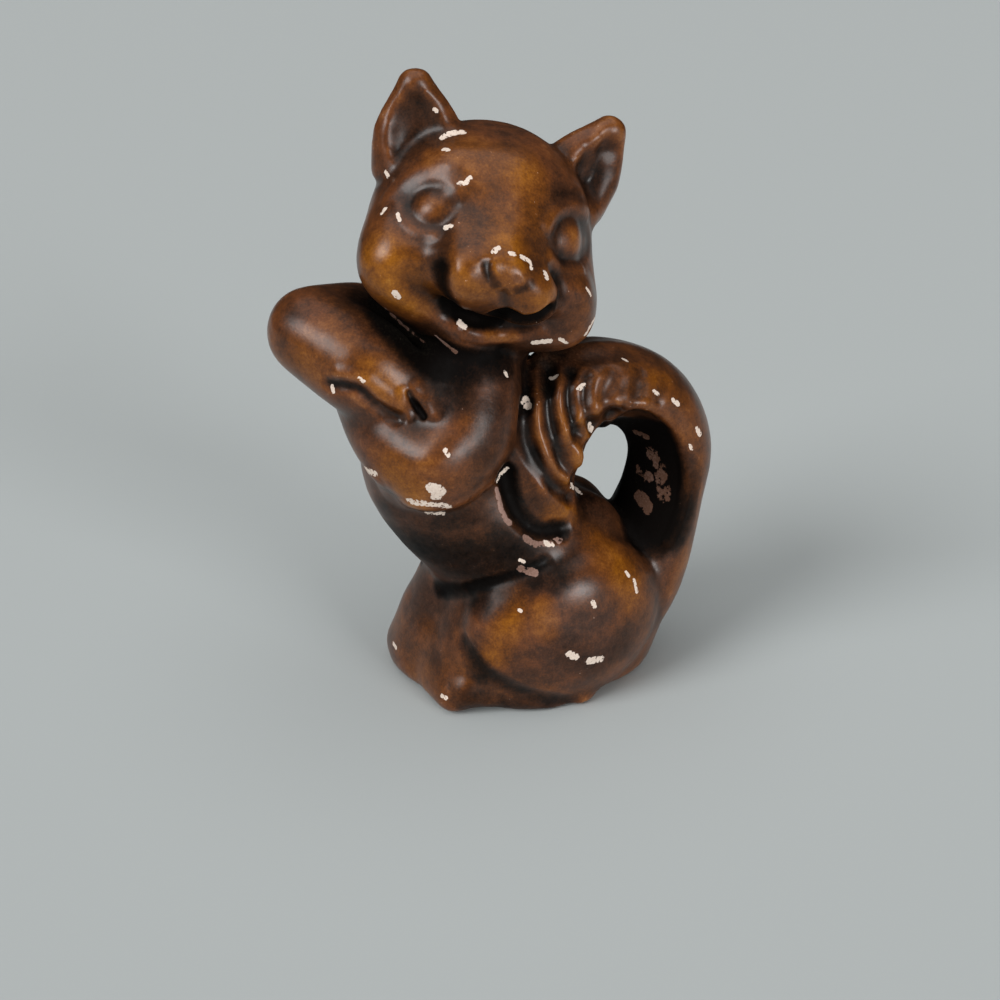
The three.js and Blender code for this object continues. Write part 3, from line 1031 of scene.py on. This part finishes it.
FACE = Region(
    "face",
    sponges=(
        Sponge("muzzle", (500, 270), 15.0, 60),
        Sponge("right cheek crease", (440, 250), 8.0, 50),
        Sponge("right socket", (432, 207), 7.0, 150),
        Sponge("left socket", (576, 250), 10.5, 160),
    ),
    stamps=(
        Stamp("right puff", (466, 280), 8.0, 8.2, 1.3),
        Stamp("left puff", (534, 290), 6.6, 7.6, 1.3),
        Stamp("muzzle top", (498, 252), 6.5, 5.0, 0.8),
        Stamp("muzzle flank", (462, 254), 7.5, 9.0, 1.2),
        Stamp("left cheek", (577, 292), 7.0, 6.5, 1.7),
        Stamp("crown", (492, 128), 10.0, 8.0, -0.9),
        Stamp("nose", (508, 275), 2.8, 3.3, 0.45, Rise.DOME),
        Stamp("right eyeball", (432, 207), 4.7, 4.1, 0.9),
        Stamp("left eyeball", (570, 241), 4.4, 4.9, 1.3),
    ),
    strokes=(
        RIGHT_EYE.stroke(),
        LEFT_EYE.stroke(),
        Stroke("right brow", RIGHT_BROW, 3.0, 0.4),
        Stroke("right lower lid", ((398, 206), (404, 220), (418, 231), (434, 235)), 1.8, 0.35),
        Stroke("left brow", ((547, 225), (556, 211), (570, 205), (586, 212)), 2.2, 0.5),
        Stroke("left lower lid", ((551, 258), (562, 268), (578, 268)), 1.7, 0.3),
        Stroke("side of the bridge", ((458, 192), (462, 211), (460, 236)), 3.4, 0.3),
        Stroke("right cheek crease", ((441, 270), (440, 281), (442, 294), (452, 307)), 3.6, -0.7),
        Stroke("beside the bridge", ((447, 234), (441, 250), (440, 270)), 4.0, -0.15),
        Stroke("left cheek crease", ((553, 272), (560, 288), (558, 304)), 2.0, -0.5),
        Stroke("right nostril", ((488, 268), (491, 277), (497, 285)), 1.2, -0.3),
        Stroke("left nostril", ((516, 289), (522, 288)), 1.2, -0.15),
        Stroke("lip cleft", ((503, 293), (505, 306)), 1.3, -0.45),
        Stroke("mouth", MOUTH, 2.0, -1.4),
        Stroke("lower lip", ((466, 332), (488, 337), (514, 336), (541, 330)), 1.9, 0.6),
    ),
    # Dark touches: stain in the eye grooves, creases and nostrils with painted shade, and painted shadow in
    # the mouth
    soot=(
        RIGHT_EYE.touch(0.08),
        LEFT_EYE.touch(0.12),
        Touch(2.4, 0.25, ((443, 236), (441, 246), (439, 262))),
        Touch(2.4, 0.8, ((440, 270), (441, 288), (453, 307))),
        Touch(1.0, 0.35, ((487, 268), (490, 277), (496, 285))),
        Touch(1.0, 0.3, ((515, 289), (522, 288), (528, 283))),
        Touch(2.8, 0.4, ((562, 196), (576, 198))),
        Touch(2.4, 0.4, ((557, 282), (560, 300))),
        *dabs(2.3, MOUTH_SHADOW),
    ),
    rub=(
        Touch(5.0, 0.4, ((462, 282), (480, 294))),
        Touch(4.0, 0.4, ((524, 296), (538, 298))),
        Touch(4.6, 0.7, ((507, 236), (508, 256))),
        # The lower cheek rubbed lighter, partly as painted light against the shade there
        Touch(6.5, 0.8, ((382, 262), (392, 282), (414, 300))),
        Touch(8.0, 0.6, ((465, 150), (500, 162), (525, 195))),
        # The eyeballs lightened, partly as painted highlights
        Touch(3.4, 0.3, ((428, 207), (438, 208))),
        Touch(3.4, 0.45, ((569, 238), (572, 246))),
        # Painted highlight on the lower lip
        Touch(1.6, 0.6, ((488, 335), (514, 335))),
    ),
    chip=(
        Touch(0.62, 0.9, ((521, 258), (528, 262), (529, 268))),
        *dabs(0.94, ((443, 137), (452, 132), (463, 129))),
        *dabs(0.62, ((444, 149), (448, 150)), ((460, 184), (466, 183), (470, 178))),
        *dabs(0.62, ((494, 255), (498, 251))),
        *dabs(0.56, ((386, 172), (388, 176)), ((382, 213), (385, 209)), ((510, 255), (514, 256))),
        *dabs(0.5, ((398, 215), (400, 221)), ((560, 339), (567, 343)), ((579, 290), (584, 296))),
        *dabs(0.69, ((446, 229), (451, 228)), ((533, 343), (550, 341)), ((586, 334), (594, 320))),
        *dabs(0.81, ((543, 273), (544, 277)), ((395, 293), (398, 297))),
        *dabs(0.75, ((459, 322), (464, 327))),
    ),
)

EARS = Region(
    "ears",
    sponges=(
        Sponge("right ear root", (430, 138), 6.0, 24),
        Sponge("right ear hollow", (406, 130), 5.0, 16),
        Sponge("left ear hollow", (603, 185), 5.5, 20),
        Sponge("left ear root", (598, 212), 6.0, 60),
    ),
    strokes=(
        Stroke("left ear edge", ((604, 165), (600, 195), (593, 214)), 3.4, 0.8),
        Stroke("left ear ridge", ((603, 126), (592, 148), (584, 172)), 2.0, 0.4),
    ),
    soot=(
        Touch(3.0, 0.15, ((409, 105), (404, 125))),
        Touch(2.6, 0.2, ((601, 160), (604, 180), (600, 195))),
    ),
    chip=(*dabs(0.5, ((434, 109), (437, 111))),),
)

PLUME = Region(
    "plume",
    stamps=(Stamp("under the chin", (540, 359), 4.5, 3.5, 1.6),),
    strokes=(
        Stroke("plume edge", ((581, 444), (574, 458), (570, 474)), 3.0, 1.3),
        Stroke("furrow 1", ((526, 405), (527, 440), (538, 465), (552, 482), (571, 498)), 2.4, -1.2),
        Stroke("furrow 2", ((549, 368), (549, 404), (553, 432), (563, 459), (574, 479)), 2.4, -1.3),
        Stroke("furrow 3", ((571, 372), (570, 404), (578, 432), (586, 448)), 2.2, -1.1),
        Stroke("furrow 4", ((586, 376), (584, 398), (588, 418), (594, 428)), 2.0, -0.8),
        Stroke("ridge 1", RIDGE_1, 1.8, 0.25),
        Stroke("ridge 2", RIDGE_2, 1.8, 0.25),
        Stroke("ridge 3", ((577, 385), (578, 408), (586, 430)), 1.6, 0.2),
        Stroke("plume hollow", PLUME_HOLLOW, 2.8, -1.0),
    ),
    # Painted shadow in the hollow under the plume's tip, and dark stain with painted shade in the furrows
    soot=(
        Touch(2.6, 0.7, PLUME_HOLLOW),
        Touch(1.6, 0.2, ((524, 391), (527, 440), (540, 468), (556, 488))),
        Touch(1.6, 0.2, ((549, 390), (553, 432), (563, 459), (574, 479))),
        Touch(1.4, 0.2, ((571, 385), (570, 404), (578, 432))),
    ),
    # Stain rubbed back on the ridges, partly as painted highlights where they catch the light
    rub=(
        Touch(1.7, 0.25, RIDGE_1),
        Touch(1.7, 0.25, RIDGE_2),
        Touch(1.6, 0.25, ((577, 385), (578, 408), (588, 434))),
        Touch(2.6, 0.7, ((550, 512), (572, 516))),
    ),
    chip=(
        *dabs(0.75, ((526, 398), (528, 404))),
        *dabs(0.5, ((505, 372), (507, 376))),
        *dabs(0.62, ((550, 374), (556, 374))),
        *dabs(0.88, ((592, 427), (595, 433))),
        *dabs(1.0, ((573, 485), (578, 493))),
    ),
    clay=(
        Touch(0.88, 0.9, ((497, 490), (503, 513), (510, 523))),
        Touch(0.94, 0.9, ((525, 538), (539, 545), (562, 540))),
    ),
)

TAIL = Region(
    "tail",
    both_sides=True,
    stamps=(Stamp("back under the loop", (602, 510), 8.0, 6.5, 1.8),),
    strokes=(
        Stroke("furrow 5", ((613, 374), (606, 395), (611, 413)), 2.2, -0.5),
        Stroke("furrow 6", ((640, 372), (637, 399)), 2.2, -0.4),
        Stroke("furrow 7", ((664, 383), (657, 404)), 2.0, -0.3),
        Stroke("loop rim", LOOP_RIM, 1.8, 0.5),
    ),
    # The inside of the loop darkened: dark stain and painted shade
    soot=(*dabs(7.0, ((620, 425), (650, 435), (668, 480), (660, 525), (645, 505), (635, 470))),),
    rub=(
        Touch(5.0, 0.25, ((600, 385), (630, 378), (665, 392), (695, 430))),
        Touch(4.5, 0.4, ((702, 470), (698, 520), (680, 580))),
    ),
    chip=(
        *dabs(0.75, ((580, 388), (585, 385))),
        *dabs(0.69, ((673, 400), (678, 404))),
        *dabs(0.56, ((654, 391), (659, 394))),
        *dabs(0.81, ((697, 429), (700, 434))),
        *dabs(0.5, ((690, 445), (692, 449)), ((623, 359), (627, 361))),
    ),
    clay=(
        Touch(1.25, 0.8, ((636, 432), (646, 437))),
        Touch(2.25, 0.75, ((652, 452), (660, 470), (664, 495))),
        Touch(1.88, 0.7, ((640, 470), (648, 478))),
        Touch(1.88, 0.9, ((640, 496), (648, 508))),
    ),
)

ARMS = Region(
    "arms",
    sponges=(Sponge("chest hollow", (452, 378), 10.0, 60),),
    stamps=(
        Stamp("left forearm", (430, 462), 9.0, 7.0, 0.8),
        Stamp("right paw", (424, 400), 5.0, 5.0, 0.8),
    ),
    strokes=(
        Stroke("forearm crease", ((329, 385), (345, 386), (360, 391), (374, 404), (397, 418)), 2.0, -0.8),
        Stroke("forearm edge", ((340, 375), (362, 380), (378, 392), (396, 406)), 2.2, 0.35),
        Stroke("finger slit", ((410, 393), (416, 404), (424, 416)), 1.0, -0.6),
        Stroke("first finger", ((402, 392), (404, 406), (408, 416)), 1.6, 0.3),
        Stroke("second finger", ((417, 388), (428, 400), (434, 413)), 2.0, 0.35),
        Stroke("left arm edge", LEFT_ARM_EDGE, 2.6, 0.4),
    ),
    # Painted shadow under the chin and in the chest hollow, painted shade on the belly and beside the left
    # arm, and stain with painted shade in the forearm crease and the finger slit
    soot=(
        Touch(2.4, 0.9, ((378, 306), (412, 339), (451, 352), (484, 361))),
        Touch(4.4, 0.7, ((388, 324), (412, 348), (440, 362), (468, 372))),
        Touch(5.0, 0.4, ((458, 378), (462, 400))),
        Touch(4.5, 0.35, ((484, 410), (484, 450))),
        Touch(4.0, 0.6, ((480, 365), (500, 362))),
        Touch(1.0, 0.35, ((329, 385), (345, 386), (360, 391), (374, 404))),
        Touch(0.9, 0.5, ((414, 401), (424, 416))),
        Touch(4.0, 0.3, ((382, 510), (408, 523), (438, 527), (470, 518))),
        Touch(8.0, 0.6, ((400, 540), (440, 556), (490, 560), (520, 548))),
    ),
    rub=(
        Touch(5.0, 0.8, ((386, 462), (398, 484), (412, 496))),
        Touch(3.0, 0.4, ((468, 424), (474, 436))),
        Touch(6.0, 0.5, ((310, 350), (330, 340))),
        Touch(3.5, 0.7, ((372, 368), (392, 384))),
    ),
    chip=(
        Touch(1.12, 0.8, ((410, 501), (424, 503), (448, 505))),
        Touch(1.12, 0.75, ((428, 513), (442, 513))),
        Touch(0.5, 0.8, ((498, 482), (508, 470))),
        *dabs(1.5, ((432, 488), (440, 491), (436, 496))),
        *dabs(1.0, ((367, 469), (375, 473))),
        *dabs(0.62, ((446, 450), (449, 455))),
        *dabs(0.56, ((330, 388), (333, 393))),
        *dabs(0.5, ((360, 378), (364, 381)), ((357, 280), (360, 283))),
    ),
    clay=(
        Touch(0.44, 0.75, ((385, 308), (403, 325), (425, 343))),
        Touch(0.56, 0.85, ((436, 336), (448, 346), (456, 352))),
    ),
)

LEGS = Region(
    "legs",
    both_sides=True,
    sponges=(
        Sponge("shins", (426, 645), 14.0, 80),
        Sponge("knee", (440, 600), 8.0, 40),
        Sponge("toes", (442, 692), 9.0, 60),
    ),
    stamps=(Stamp("haunch top", (580, 585), 11.0, 8.0, 0.7),),
    strokes=(
        Stroke("between the feet", ((424, 642), (424, 668), (420, 690)), 6.0, 0.4),
        Stroke("side of the foot", ((468, 692), (486, 700)), 4.0, 0.8),
        Stroke("belly crease", ((470, 588), (490, 583), (516, 574), (545, 563)), 2.0, -0.4),
        Stroke("haunch crease", ((464, 642), (482, 668), (520, 692), (572, 705)), 2.6, -0.5),
    ),
    # Painted shade in the creases between belly, haunch and feet, on the haunch beside the belly and along
    # the bottom of the feet, with some stain in the creases
    soot=(
        Touch(2.4, 0.65, ((440, 588), (455, 589), (484, 584), (540, 565))),
        Touch(2.6, 0.35, ((464, 645), (482, 668), (520, 692), (570, 704))),
        Touch(3.4, 0.5, ((472, 655), (482, 672))),
        Touch(4.5, 0.4, ((482, 601), (500, 597))),
        Touch(4.5, 0.45, ((505, 592), (530, 583), (556, 575))),
        Touch(4.0, 0.2, ((560, 640), (590, 665), (620, 650))),
        Touch(4.5, 0.4, ((470, 702), (500, 706), (545, 706))),
    ),
    rub=(
        Touch(4.0, 0.9, ((514, 596), (505, 625), (494, 655))),
        Touch(3.2, 0.8, ((542, 606), (548, 632))),
        # Painted light on the back of the haunch, lit from the far side
        Touch(6.0, 0.5, ((600, 545), (640, 600))),
        Touch(5.0, 0.25, ((400, 640), (420, 680))),
    ),
    chip=(
        Touch(0.62, 0.8, ((634, 580), (637, 592))),
        *dabs(1.06, ((569, 654), (576, 657))),
        *dabs(1.12, ((589, 661), (601, 659))),
        *dabs(0.69, ((592, 602), (594, 606))),
        *dabs(0.5, ((626, 572), (629, 576)), ((518, 609), (521, 611))),
        *dabs(0.62, ((393, 643), (396, 648)), ((442, 696), (446, 698))),
        *dabs(0.75, ((546, 543), (552, 545))),
        *dabs(0.56, ((520, 560), (524, 562))),
    ),
    clay=(Touch(1.0, 0.9, ((520, 569), (536, 573))),),
)

REGIONS = (FACE, EARS, PLUME, TAIL, ARMS, LEGS)


def work(near: Modeller, far: Modeller) -> Iterator[tuple[Region, Modeller]]:
    """Hands out each region with the modellers that work on it.

    Args:
        near: the modeller of the side that the photograph shows.
        far: the modeller of the other side.

    Yields:
        A region and a modeller.
    """
    for region in REGIONS:
        yield region, near
        if region.both_sides:
            yield region, far


@dataclass(frozen=True)
class Castings:
    """The pieces that the finished skin is parted into, each dressed in the stain."""

    normal_layer: str = "fused_normal"
    skirt: float = 1.2

    def part(self, skin: Skin, nodes: Nodes, record: dict, finish: Material) -> None:
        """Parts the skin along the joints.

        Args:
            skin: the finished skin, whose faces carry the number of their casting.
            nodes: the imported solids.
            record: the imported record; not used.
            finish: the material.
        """
        layer = skin.mesh.attributes.new(self.normal_layer, "FLOAT_VECTOR", "POINT")
        layer.data.foreach_set("vector", skin.normals().ravel())
        for number, name in enumerate(nodes):
            mesh = self.cut(skin.mesh, number, name)
            mesh.materials.clear()
            mesh.materials.append(finish)
            piece = bpy.data.objects.new(f"{name}_casting", mesh)
            bpy.context.scene.collection.objects.link(piece)
            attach(piece, "root")
            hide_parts(name)
            LOG.info("%s: %d faces", piece.name, len(mesh.polygons))

    def cut(self, whole: Mesh, number: int, name: str) -> Mesh:
        """Takes one casting out of the skin and closes it where it was joined.

        Args:
            whole: the skin.
            number: the casting's number on the faces.
            name: the casting's name.

        Returns:
            The casting's mesh, with the skin's own normals up to the joint.
        """
        casting = bmesh.new()
        casting.from_mesh(whole)
        others = [face for face in casting.faces if face.material_index != number]
        bmesh.ops.delete(casting, geom=others, context="FACES")
        for face in casting.faces:
            face.material_index = 0
            face.smooth = True
        self.close(casting)
        mesh = bpy.data.meshes.new(f"{name}_casting")
        casting.to_mesh(mesh)
        casting.free()
        layer = mesh.attributes[self.normal_layer]
        normals = read(layer.data, "vector", 3)[read(mesh.loops, "vertex_index", kind=int)]
        smooth = read(mesh.polygons, "use_smooth", kind=bool)
        normals[~np.repeat(smooth, read(mesh.polygons, "loop_total", kind=int))] = 0
        mesh.attributes.remove(layer)
        mesh.normals_split_custom_set(normals.tolist())
        return mesh

    def close(self, casting: BMesh) -> None:
        """Closes a casting at each joint with a skirt that turns in under the skin and a fan across it.

        Args:
            casting: the casting, open where it was joined.
        """
        casting.normal_update()
        rim = [edge for edge in casting.edges if edge.is_boundary]
        inward = {vert: -vert.normal * self.skirt * MM for edge in rim for vert in edge.verts}
        turned = bmesh.ops.extrude_edge_only(casting, edges=rim)["geom"]
        skirts = [item for item in turned if isinstance(item, BMFace)]
        lips = [item for item in turned if isinstance(item, BMEdge) and item.is_boundary]
        lip_verts = {vert for edge in lips for vert in edge.verts}
        for vert in lip_verts:
            others = (edge.other_vert(vert) for edge in vert.link_edges)
            vert.co += inward[next(other for other in others if other in inward)]
        fans = []
        for ring in rings_of(lips):
            middle = sum((vert.co for vert in ring), Vector()) / len(ring)
            centre = casting.verts.new(middle)
            for first, second in zip(ring, ring[1:] + ring[:1]):
                fans.append(casting.faces.new((first, second, centre)))
        for face in [*skirts, *fans]:
            face.smooth = False
        bmesh.ops.recalc_face_normals(casting, faces=casting.faces)


@dataclass(frozen=True)
class Lamp:
    """A broad distant lamp, in degrees round and above the figure, and how wide it looks from there."""

    name: str
    azimuth: float
    elevation: float
    spread: float
    strength: float

    def build(self) -> None:
        """Makes the lamp."""
        data = bpy.data.lights.new(self.name, "SUN")
        data.angle = math.radians(self.spread)
        data.energy = self.strength
        lamp = bpy.data.objects.new(self.name, data)
        lamp.rotation_euler = (math.radians(90 - self.elevation), 0, math.radians(self.azimuth))
        bpy.context.scene.collection.objects.link(lamp)


@dataclass(frozen=True)
class Studio:
    """A plain pale floor under soft lamps, in metres."""

    floor_half: float = 6.0
    floor_drop: float = 0.00005
    floor_colour: str = "#BCC2C2"
    floor_roughness: float = 0.9
    world_colour: str = "#E8E2DA"
    world_strength: float = 0.05
    lamps: tuple[Lamp, ...] = (
        Lamp("window", 22.0, 34.0, 30.0, 1.9),
        Lamp("far_window", 114.0, 11.0, 26.0, 2.0),
        Lamp("ceiling", 80.0, 84.0, 70.0, 1.15),
    )

    def build(self) -> None:
        """Makes the floor, the lamps and the world."""
        scene = bpy.context.scene
        scene.view_settings.view_transform = "Standard"
        ground = bmesh.new()
        bmesh.ops.create_grid(ground, x_segments=1, y_segments=1, size=self.floor_half)
        bmesh.ops.translate(ground, verts=ground.verts, vec=(0, 0, -self.floor_drop))
        mesh = bpy.data.meshes.new("floor")
        ground.to_mesh(mesh)
        ground.free()
        cloth = bpy.data.materials.new("pale_floor")
        cloth.use_nodes = True
        shader = cloth.node_tree.nodes["Principled BSDF"]
        shader.inputs["Base Color"].default_value = linear(self.floor_colour)
        shader.inputs["Roughness"].default_value = self.floor_roughness
        mesh.materials.append(cloth)
        floor = bpy.data.objects.new("floor", mesh)
        scene.collection.objects.link(floor)
        floor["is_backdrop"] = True
        world = bpy.data.worlds.new("studio")
        world.use_nodes = True
        sky = world.node_tree.nodes["Background"]
        sky.inputs["Color"].default_value = linear(self.world_colour)
        sky.inputs["Strength"].default_value = self.world_strength
        scene.world = world
        for lamp in self.lamps:
            lamp.build()


@dataclass(frozen=True)
class Figure:
    """The figurine: its clay, the marks of the modeller and its finish."""

    clay: Clay = Clay()
    castings: Castings = Castings()
    finish: StainedEarthenware = StainedEarthenware()
    shade_rays: int = 18
    shade_reach: float = 22.0
    shade_rounds: int = 3
    last_rounds: int = 2
    last_softness: float = 0.3
    fine_rounds: int = 3
    fine_bend: float = 0.35
    broad_rounds: int = 40
    broad_bend: float = 0.12

    def build(self, frame: dict, camera: PhotoCamera) -> None:
        """Builds every casting.

        Args:
            camera: the camera that the marks were read from.
        """
        nodes = frame["nodes"]
        names = list(nodes)
        low, high = (np.array(corner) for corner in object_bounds())
        coarse = Skin(self.clay.fused(self.clay.joined(nodes, Drain.of_record(frame["record"]))))
        LOG.info("skin: %d points", len(coarse.points))
        shares = shares_of(coarse, nodes, self.clay.seam_rounds)
        self.clay.softened(coarse, shares, names)
        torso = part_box("torso")
        middle = (torso[0][0] + torso[1][0]) / 2
        near, far = Modeller(coarse, camera), Modeller(coarse, camera, middle)
        for region, modeller in work(near, far):
            region.wipe(modeller)
        opened = openness(coarse, self.shade_rays, self.shade_reach)
        coarse.keep("shade", coarse.blurred(opened, self.shade_rounds))
        coarse.store()
        self.number_faces(coarse, shares)
        skin = Skin(modified(coarse.mesh, "SUBSURF", levels=1, render_levels=1))
        near, far = Modeller(skin, camera), Modeller(skin, camera, middle)
        for region, modeller in work(near, far):
            region.model(modeller)
        skin.soften(self.last_rounds, self.last_softness)
        skin.points = np.clip(skin.points, low, high)
        self.paint(skin, near, far)
        self.castings.part(skin, nodes, frame["record"], self.finish.build())

    def number_faces(self, skin: Skin, shares: np.ndarray) -> None:
        """Writes the number of its casting on each face.

        Args:
            skin: the skin.
            shares: for each point, how far it belongs to each casting.
        """
        corners = np.array([tuple(polygon.vertices) for polygon in skin.mesh.polygons])
        owner = shares[corners].mean(axis=1).argmax(axis=1)
        for _ in range(shares.shape[1]):
            skin.mesh.materials.append(None)
        skin.mesh.polygons.foreach_set("material_index", owner.astype(np.int32))

    def paint(self, skin: Skin, near: Modeller, far: Modeller) -> None:
        """Stores what the finish reads: the bends of the skin and the touches of colour.

        Args:
            skin: the modelled skin.
            near: the modeller of the side that the photograph shows.
            far: the modeller of the other side.
        """
        bend = skin.bend()
        fine = np.clip(skin.blurred(bend, self.fine_rounds) / self.fine_bend, -1, 1)
        broad = np.clip(skin.blurred(bend, self.broad_rounds) / self.broad_bend, -1, 1)
        skin.keep("bend", (fine + broad) / 2)
        layers = {paint: np.zeros(len(skin.points)) for paint in Paint}
        for region, modeller in work(near, far):
            region.colour(modeller, layers)
        for paint, layer in layers.items():
            skin.keep(paint.value, layer)


def main() -> None:
    """Builds the scene."""
    logging.basicConfig(level=logging.INFO, format="%(name)s: %(message)s")
    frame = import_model()
    camera = PhotoCamera()
    camera.build()
    Studio().build()
    Figure().build(frame, camera)


if __name__ == "__main__":
    main()
